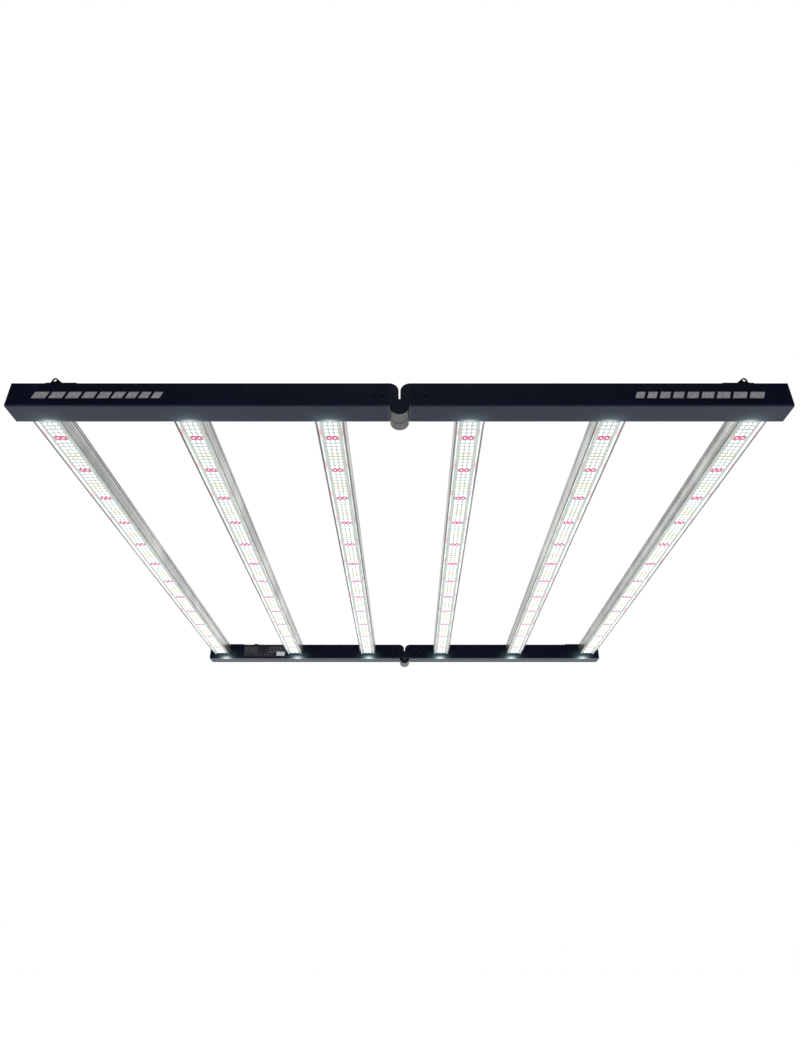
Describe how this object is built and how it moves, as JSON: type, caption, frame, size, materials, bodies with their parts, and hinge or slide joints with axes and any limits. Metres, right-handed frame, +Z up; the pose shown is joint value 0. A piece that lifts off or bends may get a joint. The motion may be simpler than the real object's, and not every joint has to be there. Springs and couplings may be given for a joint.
{
  "type": "led grow light",
  "caption": "Foldable grow light: finned LED bars between two hollow rails that hinge in the middle, hung by eyes at its corners, with a dimmer knob.",
  "frame": {"origin": "middle of the plan view, on the plane under the two hinge barrels, which is the light's lowest plane", "axes": "+Z up with the light hanging and shining down; X along the rails, across the fold line at X = 0; Y along the LED bars, the controls' rail at +Y"},
  "size_m": [1.1, 1.18, 0.0658],
  "materials": {
    "rail_paint": "satin navy-black powder coat",
    "hinge_paint": "satin navy-black powder coat on a casting",
    "hanger_steel": "black coated steel",
    "bar_aluminium": "extruded, fine lengthwise lines, satin",
    "board_white": "white solder mask",
    "red_led": "clear dome, deep red, lit",
    "white_led": "phosphor square, white, lit",
    "pin_steel": "ground",
    "bush_bronze": "sintered bronze",
    "washer_nylon": "black nylon",
    "black_screw": "black oxide",
    "plated_screw": "zinc plated",
    "driver_case": "anodised",
    "wire_insulation": "smooth",
    "connector_nylon": "moulded",
    "rubber": "moulded",
    "gland_nylon": "moulded black nylon",
    "plate_film": "printed film, no text",
    "pot_body": "moulded",
    "knob_plastic": "moulded, fluted"
  },
  "bodies": {
    "left_half": {"dimmer_pot": "pot_body", "driver_left": "driver_case", "front_cover_left": "rail_paint", "front_end_cap_left": "rail_paint", "front_hanger_left": "hanger_steel", "front_hinge_block_left": "hinge_paint", "front_rail_left": "rail_paint", "gland_body": "gland_nylon", "gland_locknut": "gland_nylon", "gland_nut": "gland_nylon", "gland_seal": "rubber", "heat_sink_1": "bar_aluminium", "heat_sink_2": "bar_aluminium", "heat_sink_3": "bar_aluminium", "hinge_pins": "pin_steel", "hinge_washers": "washer_nylon", "large_screws_left": "black_screw", "lead_grommets_left": "rubber", "led_board_1": "board_white", "led_board_2": "board_white", "led_board_3": "board_white", "pan_screws_left": "plated_screw", "rating_plate": "plate_film", "rear_cover_left": "rail_paint", "rear_end_cap_left": "rail_paint", "rear_hanger_left": "hanger_steel", "rear_hinge_block_left": "hinge_paint", "rear_rail_left": "rail_paint", "red_leds_left": "red_led", "small_screws_left": "black_screw", "wire_connectors_left": "connector_nylon", "wiring_left": "wire_insulation"},
    "right_half": {"driver_right": "driver_case", "front_cover_right": "rail_paint", "front_end_cap_right": "rail_paint", "front_hanger_right": "hanger_steel", "front_hinge_block_right": "hinge_paint", "front_rail_right": "rail_paint", "heat_sink_4": "bar_aluminium", "heat_sink_5": "bar_aluminium", "heat_sink_6": "bar_aluminium", "hinge_bushes": "bush_bronze", "large_screws_right": "black_screw", "lead_grommets_right": "rubber", "led_board_4": "board_white", "led_board_5": "board_white", "led_board_6": "board_white", "pan_screws_right": "plated_screw", "rear_cover_right": "rail_paint", "rear_end_cap_right": "rail_paint", "rear_hanger_right": "hanger_steel", "rear_hinge_block_right": "hinge_paint", "rear_rail_right": "rail_paint", "red_leds_right": "red_led", "small_screws_right": "black_screw", "wire_connectors_right": "connector_nylon", "wiring_right": "wire_insulation"},
    "dimmer": {"dimmer_knob": "knob_plastic", "dimmer_shaft": "pin_steel"}
  },
  "joints": [
    {"name": "fold", "type": "hinge", "parent": "left_half", "child": "right_half", "pos_m": [0, 0, 0.0135], "axis": [0, 1, 0], "range_deg": [0, 180]},
    {"name": "dimmer_turn", "type": "hinge", "parent": "left_half", "child": "dimmer", "pos_m": [-0.401, 0.545, 0.0435], "axis": [0, -1, 0], "range_deg": [-140, 140]}
  ]
}
